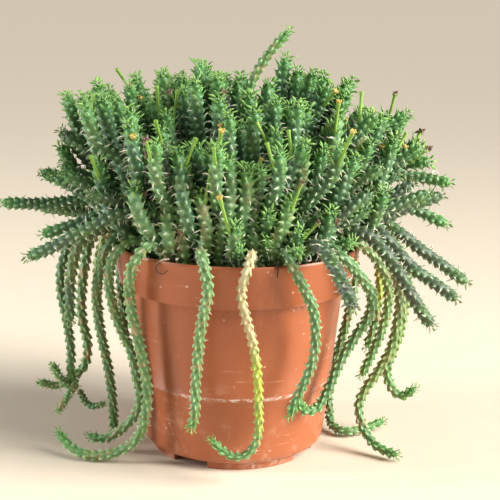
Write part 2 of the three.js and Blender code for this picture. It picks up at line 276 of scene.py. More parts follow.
def branch_skin():
    """Waxy skin, its teeth, the young leaves and the dry leaf remnants, told apart by marks."""
    recipe = Recipe("branch_skin")
    mix, times, between, over = recipe.mix, recipe.times, recipe.between, recipe.over
    knob, along = recipe.marked("knob"), recipe.marked("along")
    leafy, dry = recipe.marked("leafy"), recipe.marked("dry")
    shade, wither, grey = recipe.marked("shade"), recipe.marked("wither"), recipe.marked("grey")
    fine, patches, blotches = recipe.noise(900, 3), recipe.noise(95, 3), recipe.noise(160, 4)
    # swell is 0 in the valleys between the knobs and 1 on the knobs: every skin colour mixed by it is
    # darker in the valleys as painted shade and lighter on the knobs as painted highlight
    swell = between(knob, 0.0, 0.45)

    blue_green = mix(swell, (0.018, 0.075, 0.032), (0.210, 0.430, 0.215))
    pale_green = mix(swell, (0.145, 0.295, 0.100), (0.340, 0.530, 0.215))
    skin = mix(shade, blue_green, pale_green)
    olive = mix(swell, (0.080, 0.150, 0.022), (0.140, 0.230, 0.042))
    skin = over(skin, between(patches, 0.48, 0.68), 0.60, olive)
    pale_ones = between(shade, 0.35, 0.8)
    cool, tan = (0.085, 0.230, 0.125), (0.40, 0.27, 0.14)
    skin = over(skin, times(between(blotches, 0.46, 0.34), pale_ones), 0.45, cool)
    skin = over(skin, times(between(blotches, 0.53, 0.64), pale_ones), 0.70, tan)
    weathered = mix(swell, (0.055, 0.062, 0.042), (0.150, 0.165, 0.115))
    skin = over(skin, grey, between(patches, 0.72, 0.38), weathered)
    yellow = mix(between(along, 0.42, 0.55), (0.56, 0.45, 0.24), (0.40, 0.46, 0.06))
    fresh_again = times(wither, between(along, 0.84, 0.70))
    skin = over(skin, fresh_again, between(patches, 0.75, 0.45), yellow)
    young = mix(swell, (0.060, 0.220, 0.040), (0.220, 0.480, 0.130))
    skin = over(skin, times(between(along, 0.84, 1.0), between(grey, 0.9, 0.1)), 0.75, young)
    # the foot of every branch turns olive-brown: partly its corky skin, partly painted shade where the
    # branches crowd together at the base
    corky_foot_and_shade = (0.150, 0.140, 0.055)
    skin = over(skin, between(along, 0.16, 0.0), 0.6, corky_foot_and_shade)

    # pale cream on the teeth's edges: partly their own cream rims, partly painted highlight
    edge = times(between(knob, 0.45, 0.75), between(fine, 0.36, 0.60))
    skin = over(skin, edge, 0.65, (0.62, 0.68, 0.46))
    scar = times(between(knob, 0.80, 0.97), between(along, 0.98, 0.86))
    skin = over(skin, scar, 0.85, (0.085, 0.040, 0.025))

    leaf = mix(recipe.noise(300, 2), (0.055, 0.215, 0.035), (0.380, 0.620, 0.160))
    leaf = over(leaf, grey, 0.8, (0.150, 0.130, 0.075))
    skin = mix(leafy, skin, leaf)
    straw = mix(recipe.noise(260, 2), (0.46, 0.36, 0.22), (0.95, 0.93, 0.80))
    skin = mix(dry, skin, straw)

    roughness = mix(dry, recipe.rough(fine, 0.36, 0.58), (0.9,) * 3)
    recipe.set(Base_Color=skin, Roughness=roughness)
    recipe.set(Normal=recipe.bump(fine, 0.0003, 0.45, recipe.bump(patches, 0.0006, 0.4)))
    recipe.shader.inputs["Specular IOR Level"].default_value = 0.5
    return recipe.material


def pot_plastic():
    """Scuffed terracotta-coloured plastic with mineral crust, dust, scratches and soil stains."""
    recipe = Recipe("pot_plastic")
    mix, times, between, over = recipe.mix, recipe.times, recipe.between, recipe.over
    cloud, fine = recipe.noise(14, 3), recipe.noise(700, 3)
    colour = mix(between(cloud, 0.35, 0.68), (0.340, 0.092, 0.032), (0.410, 0.118, 0.042))
    streaks = recipe.noise(40, 5, 0.65, stretch=(1.0, 1.0, 0.22))
    colour = over(colour, between(streaks, 0.55, 0.80), 0.30, (0.56, 0.24, 0.14))

    # mineral crust along the moulded line, under the rim and at the foot
    height = recipe.height()
    broken, patchy = recipe.noise(330, 5, 0.75), recipe.noise(26, 3)
    line = times(between(height, 0.0419, 0.0428), between(height, 0.0446, 0.0438))
    line = times(line, between(patchy, 0.36, 0.56))
    ledge = times(between(height, 0.0900, 0.0955), between(height, 0.0985, 0.0965))
    ledge = times(ledge, between(patchy, 0.46, 0.62))
    foot = times(between(height, 0.0095, 0.0020), between(patchy, 0.44, 0.62))
    places_of_crust = recipe.math("MAXIMUM", line, recipe.math("MAXIMUM", times(ledge, 0.25),
                                                               times(foot, 0.80)))
    crust = times(places_of_crust, between(broken, 0.44, 0.58))
    colour = over(colour, crust, 0.85, (0.76, 0.64, 0.55))
    haze = times(between(height, 0.060, 0.035), between(recipe.noise(75, 5, 0.7), 0.50, 0.72))
    colour = over(colour, haze, 0.42, (0.64, 0.37, 0.25))

    dust = times(between(recipe.cells(170), 0.16, 0.07), between(recipe.noise(55, 2), 0.47, 0.60))
    colour = over(colour, dust, 0.65, (0.78, 0.55, 0.43))
    scratch = between(recipe.noise(120, 3, 0.6, stretch=(0.25, 0.25, 3.0)), 0.66, 0.74)
    colour = over(colour, scratch, 0.35, (0.70, 0.40, 0.27))
    soil_stain = times(between(height, 0.1165, 0.1215), between(recipe.noise(60, 4), 0.45, 0.65))
    colour = over(colour, soil_stain, 0.5, (0.13, 0.06, 0.035))

    gloss = recipe.rough(between(recipe.noise(90, 5, 0.7), 0.35, 0.70), 0.30, 0.50)
    recipe.set(Base_Color=colour, Roughness=mix(crust, gloss, (0.9,) * 3))
    scuffs = recipe.noise(160, 4, 0.7, stretch=(1.0, 1.0, 0.35))
    recipe.set(Normal=recipe.bump(fine, 0.00012, 0.5, recipe.bump(scuffs, 0.0004, 0.30)))
    return recipe.material


def potting_mix():
    recipe = Recipe("potting_mix")
    grain, clumps = recipe.noise(420, 5, 0.7), recipe.noise(90, 4)
    colour = recipe.mix(grain, (0.010, 0.007, 0.005), (0.060, 0.042, 0.028))
    colour = recipe.over(colour, recipe.between(clumps, 0.55, 0.75), 0.5, (0.13, 0.085, 0.05))
    recipe.set(Base_Color=colour, Roughness=recipe.rough(clumps, 0.85, 1.0))
    recipe.set(Normal=recipe.bump(grain, 0.0012, 0.9))
    return recipe.material


def cork():
    recipe = Recipe("caudex_cork")
    rings, fine = recipe.noise(150, 5, 0.65), recipe.noise(700, 3)
    colour = recipe.mix(rings, (0.070, 0.052, 0.030), (0.230, 0.190, 0.110))
    recipe.set(Base_Color=colour, Roughness=recipe.rough(fine, 0.75, 0.95))
    recipe.set(Normal=recipe.bump(rings, 0.0015, 0.8))
    return recipe.material


def stalk_and_flower():
    """Smooth stalk skin; the cup of the flower turns yellow, and a spent one turns brown."""
    recipe = Recipe("stalk_and_flower")
    cup, spent = recipe.marked("cup"), recipe.marked("spent")
    soft = recipe.noise(220, 3)
    colour = recipe.mix(soft, (0.130, 0.290, 0.030), (0.280, 0.450, 0.075))
    colour = recipe.over(colour, cup, 0.9, recipe.mix(soft, (0.42, 0.33, 0.05), (0.66, 0.46, 0.14)))
    colour = recipe.mix(spent, colour, recipe.mix(soft, (0.060, 0.034, 0.020), (0.260, 0.170, 0.105)))
    recipe.set(Base_Color=colour, Roughness=recipe.rough(soft, 0.38, 0.6))
    recipe.set(Normal=recipe.bump(soft, 0.0004, 0.5))
    return recipe.material


def grainy(name, scale, dark, light, low, high, depth, strength):
    """One grain sets the colour, the roughness and the bump."""
    recipe = Recipe(name)
    grain = recipe.noise(scale, 4)
    recipe.set(Base_Color=recipe.mix(grain, dark, light), Roughness=recipe.rough(grain, low, high))
    recipe.set(Normal=recipe.bump(grain, depth, strength))
    return recipe.material


def studio_paper():
    recipe = Recipe("studio_paper")
    grain = recipe.noise(60, 3)
    recipe.set(Base_Color=recipe.mix(grain, (0.70, 0.60, 0.46), (0.74, 0.64, 0.50)))
    recipe.set(Roughness=recipe.rough(grain, 0.75, 0.85))
    return recipe.material


SKIN = branch_skin()
PLASTIC = pot_plastic()
SOIL_MIX = potting_mix()
CORK = cork()
FLOWER = stalk_and_flower()
ROOT = grainy("root_bark", 380, (0.020, 0.012, 0.009), (0.085, 0.052, 0.034), 0.7, 0.95, 0.0006, 0.7)
SCRAP = grainy("dry_scraps", 240, (0.32, 0.21, 0.12), (0.84, 0.75, 0.56), 0.8, 1.0, 0.0006, 0.6)


def settle(piece, material, slot, *nodes):
    """Gives a finished piece its material, and its place on the frame."""
    piece.data.materials.clear()
    piece.data.materials.append(material)
    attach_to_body(piece, "root")
    if nodes:
        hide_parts(*nodes)


# ---------------------------------------------------------------- camera, light and floor

def camera_and_light():
    clear_selection()
    bpy.ops.object.camera_add(location=(0, -0.660, 0.264))
    camera = bpy.context.object
    turn, look_down, roll = -0.67, 12.85, 1.17
    facing = turned(turn) @ turned(90 - look_down, "X") @ turned(roll)
    camera.matrix_world = Matrix.Translation(camera.location) @ facing
    camera.data.lens = 86.0
    camera.data.sensor_width = 36.0
    camera.data.clip_start = 0.01
    bpy.context.scene.camera = camera

    def panel(name, place, aim, width, height, power, colour):
        bpy.ops.object.light_add(type="AREA", location=place)
        light = bpy.context.object
        light.name = name
        light.data.shape = "RECTANGLE"
        light.data.size, light.data.size_y = width, height
        light.data.energy = power
        light.data.color = colour
        light.rotation_euler = (Vector(aim) - Vector(place)).to_track_quat("-Z", "Y").to_euler()

    middle = (0, 0, 0.12)
    panel("key", (1.0, -0.30, 0.45), middle, 0.50, 0.50, 16, (1.0, 0.97, 0.92))
    panel("side", (-1.0, -0.12, 0.32), middle, 0.25, 0.8, 12, (0.95, 0.97, 1.0))
    bpy.ops.object.light_add(type="SUN", location=(1, -1, 2))
    daylight = bpy.context.object
    daylight.name = "daylight"
    daylight.data.energy = 3.8
    daylight.data.angle = math.radians(34)
    daylight.rotation_euler = Vector((-0.72, 0.25, -0.65)).to_track_quat("-Z", "Y").to_euler()

    bpy.context.scene.view_settings.view_transform = "Standard"
    world = bpy.data.worlds.new("studio") if not bpy.context.scene.world else bpy.context.scene.world
    bpy.context.scene.world = world
    world.use_nodes = True
    backdrop = world.node_tree.nodes["Background"]
    backdrop.inputs["Color"].default_value = (0.96, 0.97, 1.0, 1)
    backdrop.inputs["Strength"].default_value = 0.17

    bpy.ops.mesh.primitive_plane_add(size=50, location=(0, 0, 0))
    floor = bpy.context.object
    floor.name = "floor"
    floor.data.materials.append(studio_paper())


# ---------------------------------------------------------------- pot, soil and caudex

def make_pot():
    """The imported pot's profile again, in millimetres, with rounded edges and its moulded line."""
    wall, sides = 1.8, 160
    rim, top = round(RIM_RADIUS / MM, 3), round(RIM_TOP / MM, 3)
    foot, low, line = 4.5, 96.0, 43.5
    rings = [(44.0, foot), (44.0, 0.6), (44.6, 0.0), (46.4, 0.0), (47.0, 0.6), (47.0, foot - 0.4)]
    for turn in range(5, 91, 17):
        angle = math.radians(turn)
        rings.append((47.2 + 4.9 * math.sin(angle), 9.2 - 4.9 * math.cos(angle)))
    wall_at = lambda height: 52.0 + 9.0 * (height - foot) / (low - foot)
    rings += [(wall_at(line - 1.2), line - 1.2), (wall_at(line) + 0.35, line - 0.4)]
    rings += [(wall_at(line) + 0.4, line + 0.3), (wall_at(line + 1.0), line + 1.0)]
    rings += [(wall_at(70), 70), (wall_at(low) - 0.3, low - 2.6), (wall_at(low), low - 0.6)]
    rings += [(61.8, low + 0.2), (64.6, low), (65.4, low + 0.2), (65.7, low + 0.9)]
    rings += [(68.0, 108.5), (69.6, 117.2), (rim, 118.4), (rim, 119.3), (69.6, 119.9), (69.0, top)]
    rings += [(68.3, 119.7), (68.0, 118.8), (66.2, 108.5), (63.9, low + 2.2), (59.4, low + 1.6)]
    rings += [(wall_at(70) - wall, 70), (wall_at(9) - wall, 9.5), (48.5, 7.2)]
    pot = ring_stack("pot_shell", [(radius * MM, height * MM) for radius, height in rings], sides)

    def cut(tool):
        apply_modifier(pot, "BOOLEAN", operation="DIFFERENCE", solver="EXACT", object=tool)
        thrown_away(tool)

    for turn in range(4):
        clear_selection()
        bpy.ops.mesh.primitive_cube_add(size=1, location=(0, 0, 0))
        notch = bpy.context.object
        start_editing(notch, "EDGE")
        bpy.ops.mesh.select_all(action="SELECT")
        bpy.ops.transform.resize(value=(0.016, 0.0215, 0.008))
        bpy.ops.mesh.bevel(offset=0.0012, segments=3)
        finish_editing()
        notch.data.transform(turned(-120.5 + 90 * turn) @ Matrix.Translation((0.0458, 0, 0)))
        cut(notch)
        clear_selection()
        bpy.ops.mesh.primitive_cylinder_add(vertices=32, radius=0.004, depth=0.02, location=(0, 0, 0))
        drain = bpy.context.object
        drain.data.transform(turned(90 * turn) @ Matrix.Translation((0.03, 0, 0.006)))
        cut(drain)
    smooth(pot, 35)
    settle(pot, PLASTIC, "pot", "pot")


def roughened(piece, depth, scale, name):
    """Lumps, from a cloud texture."""
    clouds = bpy.data.textures.new(name, "CLOUDS")
    clouds.noise_scale = scale
    clouds.noise_depth = 3
    apply_modifier(piece, "DISPLACE", texture=clouds, strength=depth, mid_level=0.5,
                   texture_coords="LOCAL")


def make_soil():
    """The fill, kept just inside the pot's wall, and loose crumbs on it."""
    steps, crumb_count = 26, 170
    radius, top = SOIL_RADIUS / MM - 0.2, SOIL_TOP / MM
    rings = [(54.0, 60.0), (57.0, 90.0), (57.6, 97.5), (62.0, 100.0)]
    rings += [(radius - 0.8, 106.0), (radius, top - 1.5)]
    rings += [(radius * (1 - i / steps), top + 0.4) for i in range(steps)]
    soil = ring_stack("soil_fill", [(r * MM, h * MM) for r, h in rings], 120)
    points = places(soil)
    upper = points[:, 2] > SOIL_TOP - 0.0016
    grit = np.array([luck.uniform(-1, 1) for _ in points])
    points[:, 2] += np.where(upper, grit * 0.0005, 0)
    put_places(soil, points)
    roughened(soil, 0.0022, 0.006, "soil_lumps")
    smooth(soil)
    settle(soil, SOIL_MIX, "soil", "soil")

    crumbs = []
    for _ in range(crumb_count):
        clear_selection()
        bpy.ops.mesh.primitive_ico_sphere_add(subdivisions=1, radius=luck.uniform(0.0007, 0.0021))
        crumb = bpy.context.object
        angle, out = luck.uniform(0, 2 * math.pi), SOIL_RADIUS * math.sqrt(luck.uniform(0.2, 0.97))
        place = Vector((out * math.cos(angle), out * math.sin(angle), SOIL_TOP + 0.0006))
        sizes = (luck.uniform(0.7, 1.4), luck.uniform(0.7, 1.3), luck.uniform(0.5, 0.9), 1)
        turn = Matrix.Rotation(angle * 7, 4, "Z")
        crumb.data.transform(Matrix.Translation(place) @ turn @ Matrix.Diagonal(sizes))
        crumbs.append(crumb)
    settle(joined("soil_crumbs", crumbs), SOIL_MIX, "soil")


def make_caudex():
    """The short main stem: a root end in the soil, and a quarter round above it."""
    rings = [(0.020, SOIL_TOP - 0.045), (0.034, SOIL_TOP - 0.020), (CAUDEX_RADIUS, SOIL_TOP)]
    rise = CAUDEX_TOP - SOIL_TOP
    for i in range(1, 18):
        angle = math.radians(i * 5)
        rings.append((CAUDEX_RADIUS * math.cos(angle), SOIL_TOP + rise * math.sin(angle)))
    caudex = ring_stack("caudex_crown", rings, 72)
    roughened(caudex, 0.0035, 0.008, "caudex_lumps")
    smooth(caudex)
    settle(caudex, CORK, "caudex", "caudex")


# ---------------------------------------------------------------- one straight branch of each kind

def blade(name, length, width, thick, bend, steps=3):
    """A narrow leaf along Z that bends outwards, towards X."""
    clear_selection()
    bpy.ops.mesh.primitive_cube_add(size=1, location=(0, 0, 0))
    leaf = bpy.context.object
    leaf.name = name
    start_editing(leaf, "FACE")
    bpy.ops.mesh.select_all(action="SELECT")
    first = length * 0.08
    bpy.ops.transform.resize(value=(thick, width * 0.55, first))
    bpy.ops.mesh.select_all(action="DESELECT")
    finish_editing()
    for face in leaf.data.polygons:
        face.select = face.normal.z > 0.9
    start_editing(leaf, "FACE")
    reach, height = 0.0, first / 2
    for i in range(1, steps + 1):
        share = i / steps
        rise = length * 0.92 / steps
        out = bend * length * (share ** 2 - ((i - 1) / steps) ** 2)
        bpy.ops.mesh.extrude_region_move(TRANSFORM_OT_translate={"value": (out, 0, rise)})
        reach, height = reach + out, height + rise
        wide = 1.75 if i == 1 else (0.80 if i < steps else 0.12)
        flat = 1.0 if i < steps else 0.3
        bpy.ops.transform.resize(value=(flat, wide, 1), center_override=(reach, 0, height))
    finish_editing()
    return leaf


COLUMNS = 6         # of knobs round a branch
ROWS_APART = 4      # straight branches come in steps of this many rows
Kind = namedtuple("Kind", "row radius swelling tooth twist taper foot tuft longest leafy_length dry_share")
# lengths in millimetres; the tuft is a count of leaves; longest is the longest leaf
KINDS = {
    "upright": Kind(4.1, 3.60, 0.75, 1.20, 17, 0.88, 0.78, 9, 4.1, 11, 0.90),
    "spreading": Kind(4.0, 3.30, 0.65, 1.15, 17, 0.88, 0.80, 7, 2.7, 7, 0.65),
    "trailing": Kind(4.4, 2.40, 0.42, 1.25, 19, 0.80, 0.88, 6, 2.3, 6, 0.12),
}


def knobby_body(kind, rows, fine):
    """A stem of rows of faces. Every other face swells and draws out into a small tooth, tipwards."""
    row, radius, swelling, tooth = (size * MM for size in KINDS[kind][:4])
    taper, foot = KINDS[kind].taper, KINDS[kind].foot
    sides, twist = COLUMNS, math.radians(KINDS[kind].twist)
    rings = []
    for i in range(rows + 1):
        share = i / rows
        swell = foot + (1 - foot) * min(share / 0.16, 1)
        thin = 1 - (1 - taper) * max(0, (share - 0.35) / 0.65) ** 1.5
        rings.append((radius * swell * thin, i * row))
    tip_radius, tip_height = rings[-1]
    rings += [(tip_radius * 0.78, tip_height + row * 0.35), (tip_radius * 0.35, tip_height + row * 0.6)]
    body = ring_stack("straight_body", rings, sides, twist)
    step = 2 * math.pi / sides
    faces = body.data.polygons
    first = next(face for face in faces if len(face.vertices) == 4 and face.center.z < row)
    phase = math.atan2(first.center.y, first.center.x)
    for face in faces:
        level = int(face.center.z / row)
        angle = math.atan2(face.center.y, face.center.x) - phase + twist * level
        face.select = (len(face.vertices) == 4 and 0 < level < rows
                       and (round(angle / step) + level) % 2 == 0)
    wide = min(row, step * radius)
    start_editing(body, "FACE")
    edge, rise = (0.12, 1.0) if fine else (0.27, 0.95)
    bpy.ops.mesh.inset(thickness=wide * edge, depth=swelling * rise, use_individual=True)
    bpy.ops.transform.translate(value=(0, 0, row * 0.10))
    if fine:
        bpy.ops.mesh.inset(thickness=wide * 0.19, depth=tooth * 0.15, use_individual=True)
        bpy.ops.transform.translate(value=(0, 0, row * 0.08))
    finish_editing()
    before = len(body.data.vertices)
    start_editing(body, "FACE")
    bpy.ops.mesh.poke(offset=tooth * (1.60 if fine else 0.85))
    bpy.ops.mesh.select_mode(type="VERT")
    bpy.ops.mesh.select_all(action="DESELECT")
    finish_editing()
    for vertex in body.data.vertices[before:]:
        vertex.select = True
    start_editing(body)
    bpy.ops.transform.translate(value=(0, 0, row * 0.24))
    finish_editing()
    after = len(body.data.vertices)
    if fine:
        apply_modifier(body, "SUBSURF", levels=1, render_levels=1)
    tips = [vertex.co.copy() for vertex in body.data.vertices[before:after]]
    tips = [(tip, Vector((tip.x, tip.y, 0)).normalized()) for tip in tips]
    tips.sort(key=lambda tip: (round(tip[0].z / row * 4), math.atan2(tip[0].y, tip[0].x)))
    points = places(body)
    out = np.hypot(points[:, 0], points[:, 1])
    core = np.interp(points[:, 2], [height for _, height in rings], [ring for ring, _ in rings])
    mark(body, "knob", np.clip((out - core) / (swelling + tooth), 0, 1))
    return body, tips, rings[-1][1]


def straight_branch(name, kind, rows, fine, seed):
    """A dressed straight branch along Z: knobs, tip tuft, young leaves and dry remnants."""
    own_luck = random.Random(seed)
    looks = KINDS[kind]
    body, tips, length = knobby_body(kind, rows, fine)
    smooth(body)

    leaf = blade("leaf", 1.0, 0.38, 0.16, 0.20, 2)
    curl = blade("curl", 1.0, 0.26, 0.14, 0.80, 2)
    for piece, is_leaf in ((leaf, 1.0), (curl, 0.0)):
        mark(piece, "leafy", np.full(len(piece.data.vertices), is_leaf))
        mark(piece, "dry", np.full(len(piece.data.vertices), 1 - is_leaf))
        smooth(piece)
    parts = [body]

    def attach(pattern, place, outwards, lean, size, spin=0.0):
        piece = copy_of(pattern, "dressing")
        azimuth = math.atan2(outwards.y, outwards.x)
        frame_here = (Matrix.Translation(place) @ Matrix.Rotation(azimuth, 4, "Z")
                      @ Matrix.Rotation(lean, 4, "Y") @ Matrix.Rotation(spin, 4, "Z"))
        piece.data.transform(frame_here @ Matrix.Scale(size, 4))
        parts.append(piece)

    leafy_length = looks.leafy_length * MM
    dry_share = looks.dry_share * (1.0 if fine else 0.80)
    for place, outwards in tips:
        below = length - place.z
        sunk = place - outwards * 0.0006 - Vector((0, 0, 0.0005))
        if below < leafy_length:
            size = own_luck.uniform(0.4, 0.95) * looks.longest * MM * (1.1 - 0.3 * below / leafy_length)
            lean = math.radians(own_luck.uniform(25, 60))
            attach(leaf, sunk, outwards, lean, size, own_luck.uniform(-0.5, 0.5))
        elif own_luck.random() < dry_share:
            size = own_luck.uniform(0.9, 3.3 if kind != "trailing" else 2.0) * MM
            spin = math.radians(own_luck.uniform(-80, 80))
            attach(curl, sunk, outwards, math.radians(own_luck.uniform(20, 100)), size, spin)
    tip_radius = looks.radius * MM * looks.taper
    for i in range(looks.tuft):
        angle = i * 2.4
        outwards = Vector((math.cos(angle), math.sin(angle), 0))
        share = i / looks.tuft
        height = length - 0.0024 + 0.0012 * share
        place = outwards * tip_radius * (0.55 - 0.45 * share) + Vector((0, 0, height))
        size = own_luck.uniform(0.6, 1.0) * looks.longest * MM * (1 - 0.35 * share)
        attach(leaf, place, outwards, math.radians(44 - 36 * share), size)
    thrown_away(leaf, curl)
    branch = joined(name, parts)
    mark(branch, "along", np.clip(places(branch)[:, 2] / length, 0, 1))
    for layer in ("knob", "leafy", "dry"):
        if layer not in branch.data.attributes:
            mark(branch, layer, np.zeros(len(branch.data.vertices)))
    branch["length"] = length
    branch.hide_render = True
    return branch


PATTERNS = {}


def pattern_for(kind, length, fine, variant):
    """The straight branch whose length is nearest, made the first time it is asked for."""
    rows = max(2, round(length / (KINDS[kind].row * MM) / ROWS_APART)) * ROWS_APART
    key = (kind, rows, fine, variant)
    if key not in PATTERNS:
        PATTERNS[key] = straight_branch("pattern", kind, rows, fine, hash_of(key))
    return PATTERNS[key]


def hash_of(key):
    kind, rows, fine, variant = key
    return (1 + list(KINDS).index(kind)) * 1000 + rows * 10 + 5 * fine + variant


# ---------------------------------------------------------------- bending branches along their routes

def guide_curve(route):
    data = bpy.data.curves.new("guide", "CURVE")
    data.dimensions = "3D"
    data.resolution_u = 10
    spline = data.splines.new("BEZIER")
    spline.bezier_points.add(len(route) - 1)
    for point, place in zip(spline.bezier_points, route):
        point.co = place
        point.handle_left_type = point.handle_right_type = "AUTO"
    guide = bpy.data.objects.new("guide", data)
    bpy.context.scene.collection.objects.link(guide)
    bpy.context.view_layer.update()
    return guide


def bent_along(piece, guide):
    """Bends a piece that stands along Z, and throws its guide away."""
    apply_modifier(piece, "CURVE", object=guide, deform_axis="POS_Z")
    curve = guide.data
    thrown_away(guide)
    bpy.data.curves.remove(curve)


def grown(name, kind, route, fine, girth=1.0, shade=0.3, wither=0.0, grey=0.0, variant=0):
    """One branch: the straight pattern, fitted to the route's length and bent along it."""
    route = [Vector(place) for place in route]
    guide = guide_curve(route)
    length = guide.data.splines[0].calc_length()
    pattern = pattern_for(kind, length, fine, variant)
    branch = copy_of(pattern, name)
    branch.hide_render = False
    points = places(branch)
    spin = luck.uniform(0, 2 * math.pi)
    around = np.array([[math.cos(spin), -math.sin(spin)], [math.sin(spin), math.cos(spin)]])
    points[:, :2] = points[:, :2] @ around.T * girth
    points[:, 2] *= length / pattern["length"]
    put_places(branch, points)
    bent_along(branch, guide)
    points = places(branch)
    points[:, 2] = np.maximum(points[:, 2], TABLE_CLEARANCE)
    put_places(branch, points)
    for layer, value in (("shade", shade), ("wither", wither), ("grey", grey)):
        mark(branch, layer, np.full(len(points), value))
    return branch


# Routes in millimetres, from the foot to the tip, as laid out in the frame.
TRAILING = {
    "front_left": [(-16, -55, 111), (-18, -65, 126.5), (-16, -74.5, 121), (-14, -76, 109),
        (-16, -75, 97), (-18, -73, 84), (-19, -71, 70), (-20, -70, 56), (-20, -70, 43), (-22, -69, 33)],
    "front_middle": [(8, -56, 111), (8, -66, 126.5), (6, -75, 121), (3, -76, 109), (5, -75, 97),
        (9, -73, 82), (12, -72, 64), (13, -71, 45), (13, -70, 30), (9, -69, 20), (2, -69, 17),
        (-5, -69, 20), (-11, -69, 26)],
    "front_right": [(20, -51, 111), (25, -61, 126.5), (29, -69.5, 120.5), (35, -67, 109), (40, -64, 98),
        (42, -61, 86), (42, -60, 73), (39, -61, 61), (34, -61, 49), (30, -62, 38)],
    "left_front": [(-36, -43, 111), (-43, -51, 127), (-52, -56, 120), (-56, -51, 104), (-55, -48, 89),
        (-52, -47, 75), (-49, -46, 60), (-47, -45, 44), (-48, -44, 30), (-52, -42, 17), (-61, -40, 8),
        (-74, -39, 4.2), (-86, -36, 4.8), (-94, -31, 9), (-98, -28, 13)],
    "left_inner": [(-45, -30, 111), (-53, -40, 127), (-64, -42, 119.5), (-68, -38, 106), (-67, -35, 92),
        (-63, -33, 77), (-57, -32, 63), (-54, -32, 48), (-52, -32, 37), (-54, -31, 27), (-62, -28, 16),
        (-74, -23, 7.5), (-82, -20, 8)],
    "left_middle": [(-48, -20, 111), (-60, -27, 127.5), (-70, -31, 120), (-74, -25, 107), (-77, -19, 94),
        (-77, -14, 78), (-75, -11, 62), (-72, -10, 46), (-70, -10, 31), (-69, -10, 17), (-69, -8, 8)],
    "left_grey": [(-50, -8, 111), (-61, -17, 127), (-75, -22, 128), (-85, -25, 121), (-89, -25, 110),
        (-91, -25, 95), (-91, -25, 77)],
    "left_outer": [(-51, 5, 111), (-64, 2, 125), (-79, -3, 125), (-91, -7, 119), (-97, -9, 107),
        (-98, -10, 90), (-95, -10, 73), (-93, -10, 55), (-93, -10, 41), (-90, -11, 33)],
    "left_back": [(-49, 15, 111), (-62, 15, 125), (-76, 13, 124), (-84, 11, 114), (-87, 9, 101),
        (-89, 9, 85), (-89, 8, 70), (-86, 7, 56), (-86, 6, 47), (-89, 5, 39), (-95, 3, 35)],
    "left_olive": [(-44, 27, 111), (-58, 30, 126), (-71, 31, 122), (-79, 30, 110), (-82, 28, 95),
        (-82, 27, 80), (-81, 26, 66)],
    "left_rear": [(-37, 38, 111), (-49, 45, 126.5), (-60, 50, 121), (-67, 49, 107), (-70, 47, 92),
        (-70, 46, 76), (-68, 44, 60), (-67, 42, 46)],
    "right_front": [(39, -38, 111), (46, -45, 127), (56, -51, 122), (63, -46, 114), (70, -41, 105),
        (74, -36, 96), (73, -34, 86), (67, -35, 76), (61, -36, 66), (56, -38, 56), (53, -39, 48),
        (49, -41, 40), (44, -44, 35), (38, -47, 36), (35, -49, 42)],
    "right_inner": [(46, -24, 111), (57, -26, 126.5), (68, -27, 123), (77, -24, 115), (83, -21, 104),
        (85, -20, 91), (83, -20, 77), (78, -20, 62), (72, -20, 47)],
    "right_middle": [(51, -8, 111), (62, -9, 126.5), (73, -10, 124), (82, -9, 116), (89, -8, 104),
        (93, -8, 88), (92, -8, 73), (89, -8, 58), (82, -9, 45), (75, -10, 34), (72, -12, 26),
        (73, -15, 18), (78, -21, 9), (85, -27, 5), (92, -32, 4.2)],
    "right_outer": [(50, 11, 111), (62, 11, 125), (75, 10, 126), (88, 9, 120), (96, 8, 109), (99, 8, 94),
        (98, 8, 79), (96, 8, 64), (93, 8, 53), (90, 8, 43), (92, 8, 32), (98, 6, 26), (106, 4, 31)],
    "right_yellow": [(45, 25, 111), (58, 27, 125), (71, 28, 123), (81, 27, 112), (85, 26, 96),
        (85, 25, 80), (83, 24, 64), (79, 23, 50)],
    "right_rear": [(38, 37, 111), (50, 43, 126.5), (62, 46, 121), (70, 44, 107), (72, 41, 91),
        (70, 39, 73), (66, 37, 54), (61, 34, 37), (58, 30, 21), (58, 22, 9), (59, 12, 4.4), (65, 4, 4.2),
        (74, 6, 4.2), (82, 12, 4.4), (90, 16, 6)],
    "back_left": [(-22, 51, 111), (-28, 61, 126.5), (-34, 70, 120), (-38, 73, 107), (-40, 72, 92),
        (-38, 70, 76), (-34, 70, 60), (-32, 71, 45), (-36, 72, 33)],
    "back_middle": [(-2, 55, 111), (-3, 66, 126.5), (-4, 77, 121), (-4, 81, 108), (-2, 82, 92),
        (0, 80, 75), (3, 77, 58), (4, 75, 41), (1, 74, 26), (-6, 76, 14), (-14, 80, 6), (-24, 84, 4.2)],
    "back_right": [(20, 51, 111), (26, 62, 126.5), (31, 72, 120.5), (35, 75, 107), (39, 75, 91),
        (41, 73, 74), (39, 70, 57), (37, 68, 44)],
}

